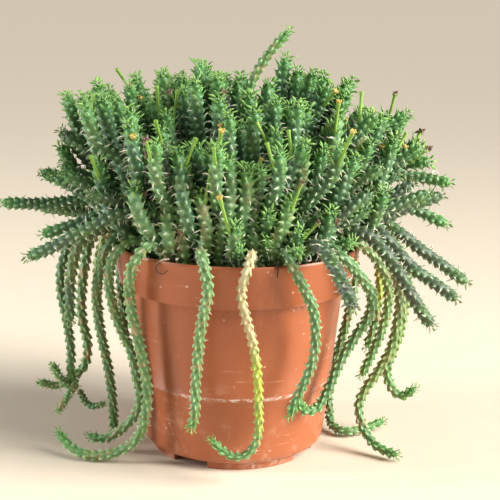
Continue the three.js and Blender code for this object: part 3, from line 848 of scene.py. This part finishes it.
SPREADING = {
    "left_low": [(-35, -31, 112), (-42, -36, 135), (-60, -42, 141), (-82, -43, 131), (-99, -42, 122),
        (-110, -41, 117)],
    "left_near": [(-36, -20, 112), (-48, -25, 132), (-66, -29, 139), (-86, -31, 133), (-104, -30, 127)],
    "left_long": [(-40, 6, 112), (-50, 3, 132), (-66, 2, 139), (-86, 1, 140), (-108, 0, 138),
        (-131, 0, 138)],
    "left_high": [(-36, 17, 112), (-47, 19, 134), (-66, 22, 146), (-90, 22, 149), (-111, 21, 150)],
    "front_grey": [(29, -40, 112), (36, -53, 127), (43, -66, 130), (49, -78, 124), (54, -88, 115),
        (58, -95, 107)],
    "right_low": [(36, -29, 112), (48, -33, 131), (66, -38, 133), (82, -40, 119), (93, -40, 102),
        (100, -40, 91), (106, -40, 83)],
    "right_near": [(41, -14, 112), (53, -16, 133), (70, -18, 135), (86, -21, 122), (96, -22, 111),
        (109, -22, 102), (122, -22, 93)],
    "right_long": [(42, 2, 112), (55, 1, 133), (75, 0, 135), (92, 0, 125), (104, 0, 116), (117, 0, 107),
        (131, 0, 97)],
    "right_middle": [(38, 11, 112), (49, 14, 134), (71, 18, 141), (96, 20, 137), (121, 18, 127)],
    "right_high": [(34, 27, 112), (49, 31, 138), (73, 34, 150), (100, 34, 152), (124, 30, 149)],
    "back_left": [(-22, 36, 112), (-31, 48, 134), (-42, 66, 141), (-53, 86, 135)],
    "back_middle": [(4, 42, 112), (6, 54, 134), (10, 76, 140), (14, 96, 133)],
    "back_right": [(25, 38, 112), (34, 50, 134), (48, 66, 143), (64, 82, 141)],
}

UPRIGHT = {
    "left_outer": [(-31, -1, 115), (-43, 2, 138), (-68, 6, 158), (-88, 9, 175), (-96, 10, 197)],
    "left_front": [(-27, -16, 115), (-37, -21, 143), (-57, -25, 164), (-75, -27, 178), (-81, -28, 196)],
    "left_back": [(-26, 15, 115), (-37, 20, 146), (-58, 27, 168), (-72, 31, 183), (-75, 32, 199)],
    "left_inner": [(-21, -5, 117), (-31, -6, 148), (-47, -8, 172), (-57, -9, 188), (-59, -9, 205)],
    "left_rear": [(-17, 25, 116), (-23, 33, 148), (-36, 45, 172), (-45, 51, 188), (-46, 52, 204)],
    "left_centre": [(-17, 9, 118), (-24, 13, 152), (-34, 16, 180), (-38, 17, 206)],
    "centre_left": [(-11, -3, 119), (-14, -4, 160), (-18, -4, 195), (-22, -3, 217)],
    "centre_back": [(-3, 18, 118), (-3, 23, 160), (-2, 29, 190), (1, 32, 208)],
    "tallest": [(1, -2, 119), (1, -4, 160), (4, -6, 200), (13, -7, 220), (26, -7, 236)],
    "centre_right": [(8, 9, 119), (14, 10, 160), (20, 11, 195), (26, 12, 220)],
    "right_inner": [(19, -3, 118), (26, -3, 155), (38, -2, 185), (50, -1, 205)],
    "right_centre": [(19, 11, 118), (29, 16, 150), (45, 21, 182), (64, 24, 207)],
    "right_front": [(24, -17, 116), (32, -22, 145), (50, -26, 173), (73, -28, 193)],
    "right_outer": [(31, 2, 115), (42, 2, 145), (66, 3, 172), (93, 5, 191)],
    "right_side": [(31, -8, 115), (45, -11, 140), (72, -14, 161), (99, -16, 175)],
    "right_far": [(27, 19, 115), (44, 23, 145), (77, 21, 159), (108, 12, 164)],
    "right_rear": [(14, 25, 116), (21, 37, 148), (34, 48, 177), (50, 56, 194)],
    "front_left": [(-23, -28, 112), (-30, -40, 136), (-38, -50, 152), (-42, -55, 166), (-42, -56, 180)],
    "front_centre": [(-6, -30, 114), (-9, -43, 136), (-11, -54, 152), (-11, -59, 166), (-10, -60, 179)],
    "front_middle": [(9, -29, 114), (13, -42, 136), (18, -53, 152), (21, -58, 164), (21, -59, 178)],
    "front_right": [(22, -31, 112), (29, -40, 138), (40, -49, 154), (49, -53, 166), (52, -54, 180)],
    "back_centre": [(-5, 33, 113), (-7, 45, 142), (-11, 59, 165), (-14, 71, 180)],
    "back_right": [(14, 36, 112), (17, 50, 142), (23, 63, 165), (30, 73, 178)],
}


def metres(route):
    return [Vector(place) * MM for place in route]


def make_frame_branches():
    """The branches that the frame holds as solids, each with its own look."""
    looks = {
        "trailing_front_middle": (0.9, 1.0, 0.0), "trailing_left_grey": (0.45, 0.15, 0.55),
        "trailing_right_yellow": (0.85, 0.8, 0.0), "trailing_left_olive": (0.75, 0.45, 0.0),
        "trailing_left_rear": (0.25, 0.0, 0.2), "trailing_front_left": (0.75, 0.05, 0.0),
        "trailing_front_right": (0.55, 0.0, 0.0), "trailing_right_front": (0.55, 0.0, 0.0),
        "trailing_left_front": (0.85, 0.0, 0.0), "trailing_left_outer": (0.45, 0.0, 0.25),
        "trailing_right_middle": (0.75, 0.20, 0.20), "trailing_right_outer": (0.95, 0.25, 0.0),
        "trailing_right_inner": (0.85, 0.15, 0.0), "trailing_right_rear": (0.70, 0.0, 0.0),
        "spreading_front_grey": (0.30, 0.0, 0.9),
        "spreading_right_low": (0.20, 0.0, 0.8), "spreading_right_near": (0.20, 0.0, 0.75),
        "spreading_right_long": (0.25, 0.0, 0.7), "spreading_left_low": (0.20, 0.0, 0.5),
        "upright_tallest": (0.95, 0.0, 0.0), "upright_front_left": (0.50, 0.0, 0.0),
        "upright_front_centre": (0.45, 0.0, 0.0), "upright_front_middle": (0.35, 0.0, 0.0),
    }
    girths = {"trailing_left_grey": 1.15, "upright_tallest": 1.0, "trailing_front_middle": 0.85}
    for kind, routes in (("trailing", TRAILING), ("spreading", SPREADING), ("upright", UPRIGHT)):
        usual = {"trailing": 0.62, "spreading": 0.18, "upright": 0.08}[kind]
        for i, (place, route) in enumerate(routes.items()):
            node = f"{kind}_{place}"
            by_luck = (usual + luck.uniform(-0.08, 0.28), 0.0, luck.uniform(0, 0.2))
            shade, wither, grey = looks.get(node, by_luck)
            girth = girths.get(node, luck.uniform(0.94, 1.06))
            look = "trailing" if node == "upright_tallest" else kind
            branch = grown(f"{node}_branch", look, metres(route), True, girth, shade, wither, grey, i % 2)
            settle(branch, SKIN, f"{kind}_branch", node)


# ---------------------------------------------------------------- the rest of the crown

UPRIGHT_FILL = 118      # inner branches of the dome
FRONT_FILL = 10         # nearly upright ones along the front of the soil
SKIRT_FILL = 34         # low spreading ones at the sides
ROOM = 9.2              # millimetres that two branches keep between their middles, where they can
ROUNDS = 70             # of sharing out the room


def ground(x, y):
    """Height of the soil or the caudex below a point, in millimetres."""
    out = math.hypot(x, y) / (CAUDEX_RADIUS / MM)
    rise = (CAUDEX_TOP - SOIL_TOP) / MM
    return SOIL_TOP / MM + (rise * math.sqrt(1 - out * out) if out < 1 else 0)


def along_route(route, shares):
    """Points at even shares of a route's length."""
    route = np.array(route, dtype=float)
    steps = np.linalg.norm(np.diff(route, axis=0), axis=1)
    walked = np.concatenate(([0], np.cumsum(steps))) / steps.sum()
    return np.column_stack([np.interp(shares, walked, route[:, axis]) for axis in range(3)])


def pushed_off(points, others, counts, strength):
    """How far each point is pushed away from the others that stand too near."""
    between = points[:, None, :] - others[None, :, :]
    apart = np.linalg.norm(between, axis=2) + 1e-6
    force = np.where((apart < ROOM) & counts, (ROOM - apart) * strength, 0)
    return np.sum(between / apart[..., None] * force[..., None], axis=1)


def crown_routes():
    """Feet spread over the caudex, tips spread over the dome, and the room between shared out."""
    golden = math.pi * (3 - math.sqrt(5))
    shares = np.linspace(0, 1, 9)
    routes = []

    def add(foot_x, foot_y, bend, tip):
        foot = np.array((foot_x, foot_y, ground(foot_x, foot_y)))
        bend, tip = np.array(bend), np.array(tip)
        routes.append(np.array([(1 - t) ** 2 * foot + 2 * t * (1 - t) * bend + t * t * tip
                                for t in shares]))

    for i in range(UPRIGHT_FILL):
        out = math.sqrt((i + 0.6) / UPRIGHT_FILL)
        angle = i * golden + 0.7
        across, front = out * math.cos(angle), out * math.sin(angle)
        tip_x = (96 if across < 0 else 102) * across
        tip_y = (60 if front < 0 else 70) * front
        side = 200 if across < 0 else 180
        edge = side * across ** 2 + (162 if front < 0 else 176) * front ** 2
        edge = edge / max(out * out, 0.001)
        tip_z = 217 - (217 - edge) * out ** 2.6 - 30 * luck.random() ** 1.3
        foot_x, foot_y = 48 * across, 46 * front
        low = ground(foot_x, foot_y)
        # on the left and in front they lean out low down and end upright; on the right they just lean
        upright_end = 0.86 if across < 0 or front < -0.4 else 0.55
        bend = (foot_x + (tip_x - foot_x) * upright_end, foot_y + (tip_y - foot_y) * upright_end,
                low + (tip_z - low) * (0.34 if upright_end > 0.6 else 0.42))
        add(foot_x, foot_y, bend, (tip_x, tip_y, tip_z))
    # a row of nearly upright ones along the front of the soil
    for i in range(FRONT_FILL):
        foot_x = -50 + 8.6 * i + luck.uniform(-2, 2)
        foot_y = -math.sqrt(max(0, 51 ** 2 - foot_x ** 2)) + luck.uniform(0, 4)
        tip_x = foot_x * 1.22 + luck.uniform(-4, 4)
        tip_y = foot_y - luck.uniform(1, 7)
        tip_z = luck.uniform(146, 176)
        add(foot_x, foot_y, (tip_x, tip_y - 2, 140), (tip_x, tip_y, tip_z))
    # a lower skirt of spreading ones that fills the sides
    for i in range(SKIRT_FILL):
        side = -1 if i % 2 else 1
        angle = math.radians(luck.uniform(-62, 60))
        across, front = side * math.cos(angle), math.sin(angle)
        reach = luck.uniform(84, 116) * (1 - 0.30 * abs(front))
        level = luck.uniform(134, 180) - 10 * (side > 0)
        foot_x, foot_y = luck.uniform(34, 48) * across, luck.uniform(34, 48) * front
        add(foot_x, foot_y, (foot_x * 1.3, foot_y * 1.3, max(138, 112 + (level - 112) * 0.7)),
            (reach * across, reach * 0.78 * front, level))

    moving = np.array(routes)
    first = moving.copy()
    still = np.concatenate([along_route(route, np.linspace(0, 1, 14)) for group in
                            (UPRIGHT, SPREADING, TRAILING) for route in group.values()])
    number = np.repeat(np.arange(len(moving)), len(shares))
    other_branch = number[:, None] != number[None, :]
    for _ in range(ROUNDS):
        points = moving.reshape(-1, 3)
        push = pushed_off(points, points, other_branch, 0.30) + pushed_off(points, still, True, 0.45)
        push = push.reshape(moving.shape)
        push[:, 0] *= 0.5
        push[:, :, 2] *= 0.4
        moving += np.clip(push, -1.5, 1.5)
        moving[:, 1:-1] += 0.30 * ((moving[:, :-2] + moving[:, 2:]) / 2 - moving[:, 1:-1])
        moving += 0.03 * (first - moving)
        for route in moving:
            out = math.hypot(route[0, 0], route[0, 1])
            if out > 56:
                route[0, :2] *= 56 / out
            route[0, 2] = ground(route[0, 0], route[0, 1]) - 2
            for point in route[1:]:
                out = math.hypot(point[0], point[1])
                if out > 58:
                    point[2] = max(point[2], 127)
    return moving


def make_crown(routes):
    """The crown's many inner branches, joined into a few pieces by the part of the crown they are in."""
    groups = {}
    for i, route in enumerate(routes):
        tip = route[-1]
        upright = i < UPRIGHT_FILL + FRONT_FILL
        shade = luck.uniform(0.0, 0.30) if luck.random() < 0.80 else luck.uniform(0.35, 0.70)
        in_front = UPRIGHT_FILL <= i < UPRIGHT_FILL + FRONT_FILL
        if in_front:
            shade = luck.uniform(0.50, 0.95)
        grey = luck.uniform(0.3, 0.8) if i >= UPRIGHT_FILL + FRONT_FILL else luck.uniform(0, 0.15)
        kind = "upright" if upright else "spreading"
        branch = grown("crown_branch", kind, [Vector(point) * MM for point in route[::2]], in_front,
                       luck.uniform(0.92, 1.10) + 0.08 * in_front, shade, 0.0, grey, i % 3)
        side = "left" if tip[0] < -28 else ("right" if tip[0] > 28 else "middle")
        depth = "front" if tip[1] < -18 else ("back" if tip[1] > 22 else "inner")
        groups.setdefault(f"crown_{depth}_{side}", []).append(branch)
    for name, branches in groups.items():
        piece = joined(name, branches)
        settle(piece, SKIN, "upright_branch")


# ---------------------------------------------------------------- stalks, flowers, shoots, roots and litter

def stalk_pattern():
    """A thin stalk that widens to a flat-topped trumpet."""
    rings = [(1.15, 0), (0.95, 0.12), (0.80, 0.5), (0.84, 0.75), (1.02, 0.88), (1.26, 0.955), (1.28, 0.985)]
    rings += [(1.05, 1.0), (0.55, 0.985)]
    stalk = ring_stack("stalk", [(radius * MM, height) for radius, height in rings], 10)
    for layer in ("cup", "spent"):
        mark(stalk, layer, np.zeros(len(stalk.data.vertices)))
    smooth(stalk)
    return stalk


def cup_pattern():
    """A round cup with a ring of small glands round its mouth."""
    rings = [(0.55, 0.0), (1.15, 0.5), (1.50, 1.2), (1.55, 1.8), (1.25, 2.2), (0.85, 2.15), (0.5, 1.9)]
    cup = ring_stack("cup", [(radius * MM, height * MM) for radius, height in rings], 10)
    glands = [cup]
    for i in range(5):
        clear_selection()
        bpy.ops.mesh.primitive_ico_sphere_add(subdivisions=1, radius=0.0006)
        gland = bpy.context.object
        squash = Matrix.Diagonal((1.2, 1, 0.6, 1))
        gland.data.transform(turned(72 * i) @ Matrix.Translation((0.0014, 0, 0.0021)) @ squash)
        glands.append(gland)
    cup = joined("cup", glands)
    mark(cup, "cup", np.ones(len(cup.data.vertices)))
    mark(cup, "spent", np.zeros(len(cup.data.vertices)))
    smooth(cup)
    return cup


def spent_pattern():
    """A dried flower: a few dark curled bits in a star."""
    bits = []
    for i in range(9):
        bit = blade("bit", luck.uniform(0.0014, 0.0026), 0.0014, 0.0008, luck.uniform(0.1, 0.6), 2)
        bit.data.transform(turned(40 * i) @ turned(luck.uniform(10, 85), "Y"))
        bits.append(bit)
    star = joined("spent", bits)
    mark(star, "cup", np.zeros(len(star.data.vertices)))
    mark(star, "spent", np.ones(len(star.data.vertices)))
    return star


def aimed(place, direction, spin=0.0):
    turn = Vector(direction).to_track_quat("Z", "Y").to_matrix().to_4x4()
    return Matrix.Translation(place) @ turn @ Matrix.Rotation(spin, 4, "Z")


def make_flowers(routes):
    stalk, cup, star = stalk_pattern(), cup_pattern(), spent_pattern()
    hosts = [np.array(route, dtype=float) for place, route in UPRIGHT.items()
             if place != "tallest" and (route[-1][2] < 196 or luck.random() < 0.5)]
    hosts += [route for route in routes[:UPRIGHT_FILL + FRONT_FILL]
              if luck.random() < (0.62 if route[-1][1] < 5 and route[-1][2] < 200 else 0.22)]
    groups = {"left": [], "right": []}
    for host in hosts:
        place = along_route(host, [0.90])[0] * MM
        direction = Vector(host[-1] - host[-2]).normalized()
        outwards = Vector((luck.uniform(-1, 1), luck.uniform(-1.2, 0.6), luck.uniform(0.0, 0.8)))
        outwards.normalize()
        sideways = (outwards - direction * outwards.dot(direction)).normalized()
        foot = Vector(place) + sideways * 0.003
        lean = (direction * 0.8 + sideways * luck.uniform(0.35, 0.9) + Vector((0, 0, 0.5))).normalized()
        length = luck.uniform(0.010, 0.021)
        kind = luck.random()
        group = groups["left" if place[0] < 0 else "right"]
        if kind < 0.62:
            piece = copy_of(stalk, "stalk")
            piece.data.transform(aimed(foot, lean) @ Matrix.Diagonal((1, 1, length, 1)))
            group.append(piece)
            top = foot + lean * (length - 0.0003)
        else:
            top = foot + lean * 0.0022
        if kind < 0.20 or 0.62 <= kind < 0.75:
            flower = copy_of(cup, "flower")
            facing = aimed(top, lean, luck.uniform(0, 6))
            flower.data.transform(facing @ Matrix.Scale(luck.uniform(0.85, 1.15), 4))
            group.append(flower)
        elif kind < 0.34 or kind >= 0.75:
            flower = copy_of(star, "flower")
            facing = aimed(top, lean, luck.uniform(0, 6))
            flower.data.transform(facing @ Matrix.Scale(luck.uniform(0.9, 1.4), 4))
            group.append(flower)
    for side, pieces in groups.items():
        settle(joined(f"flower_stalks_{side}", pieces), FLOWER, "flower")
    thrown_away(stalk, cup, star)


SHOOTS = {
    "left_up": ("upright", 0.60, 0.85, [(-90, -11, 33), (-97, -12, 37), (-103, -12, 47)]),
    "left_out": ("upright", 0.60, 0.85, [(-94, 3, 35), (-102, 0, 31), (-112, -2, 33)]),
    "left_down": ("upright", 0.55, 0.80, [(-92, -10, 33), (-96, -13, 27), (-100, -15, 21)]),
    "left_loop": ("trailing", 0.70, 0.60, [(-91, 6, 26), (-84, 2, 18), (-75, 0, 20)]),
    "front_rosette": ("upright", 0.80, 0.30, [(13, -49, 110), (15, -54, 122), (16, -59, 132)]),
    "front_pale": ("upright", 0.85, 0.75, [(22, -46, 110), (27, -57, 124), (32, -67, 128)]),
    "front_small": ("upright", 0.75, 0.45, [(-2, -52, 110), (-1, -58, 121), (2, -63, 128)]),
    "right_small": ("upright", 0.80, 0.50, [(46, -36, 110), (53, -43, 125), (60, -50, 130)]),
}


def make_shoots():
    """Short side shoots, and small young branches that lean on the rim."""
    for name, (kind, girth, shade, route) in SHOOTS.items():
        shoot = grown(f"shoot_{name}", kind, metres(route), True, girth, shade, 0.0, 0.0, 2)
        settle(shoot, SKIN, f"{kind}_branch")


def thin_root(name, route, radius):
    guide = guide_curve(metres(route))
    length = guide.data.splines[0].calc_length()
    rings = [(radius * MM * (1.15 - 0.6 * i / 24), length * i / 24) for i in range(25)]
    root = ring_stack(name, rings, 8)
    points = places(root)
    sway = np.sin(points[:, 2] * 900) * 0.00018
    points[:, 0] += sway
    put_places(root, points)
    bent_along(root, guide)
    smooth(root)
    settle(root, ROOT, "root")


ROOTS = {
    "over_rim": (0.55, [(-57, -20, 112), (-61, -25, 119.5), (-63.6, -28.4, 121.3), (-65.4, -30, 117.5),
        (-66.2, -31.5, 112.5), (-65.2, -32, 108.5)]),
    "loop": (0.40, [(-30, -49, 112), (-35, -54, 120.5), (-40, -58.2, 119), (-41.5, -58.4, 115.4),
        (-38, -60, 113.6), (-35, -61.6, 116)]),
    "stub": (0.60, [(18, -58, 113), (20, -63, 120.4), (21, -66.8, 120.6), (21.4, -68.6, 115)]),
}


def make_roots():
    for name, (radius, route) in ROOTS.items():
        thin_root(f"root_{name}", route, radius)


def make_scraps():
    """Dry leaf flakes on the soil and along the rim."""
    flakes = []
    flake = blade("flake", 1.0, 0.34, 0.10, 0.55)
    spots = [(-35, -58, 121.0, 7.0, 85), (-31, -59.5, 120.8, 4.5, 60), (33, -60.5, 120.8, 4.5, 80),
             (38, -57, 121, 3.6, 70), (58, -37, 121, 4.0, 75), (-52, -44, 121, 3.5, 75)]
    for i in range(46):
        angle, out = luck.uniform(0, 2 * math.pi), luck.uniform(40, 61)
        spots.append((out * math.cos(angle), out * math.sin(angle), SOIL_TOP / MM + 0.9,
                      luck.uniform(2.0, 6.0), luck.uniform(70, 95)))
    for x, y, z, size, lean in spots:
        piece = copy_of(flake, "flake")
        turn = Matrix.Rotation(luck.uniform(0, 2 * math.pi), 4, "Z")
        place = Matrix.Translation(Vector((x, y, z)) * MM)
        piece.data.transform(place @ turn @ turned(lean, "Y") @ Matrix.Scale(size * MM, 4))
        flakes.append(piece)
    settle(joined("dry_flakes", flakes), SCRAP, "dry_leaf")
    thrown_away(flake)


camera_and_light()
make_pot()
make_soil()
make_caudex()
make_frame_branches()
inner_routes = crown_routes()
make_crown(inner_routes)
make_flowers(inner_routes)
make_shoots()
make_roots()
make_scraps()
thrown_away(*PATTERNS.values())
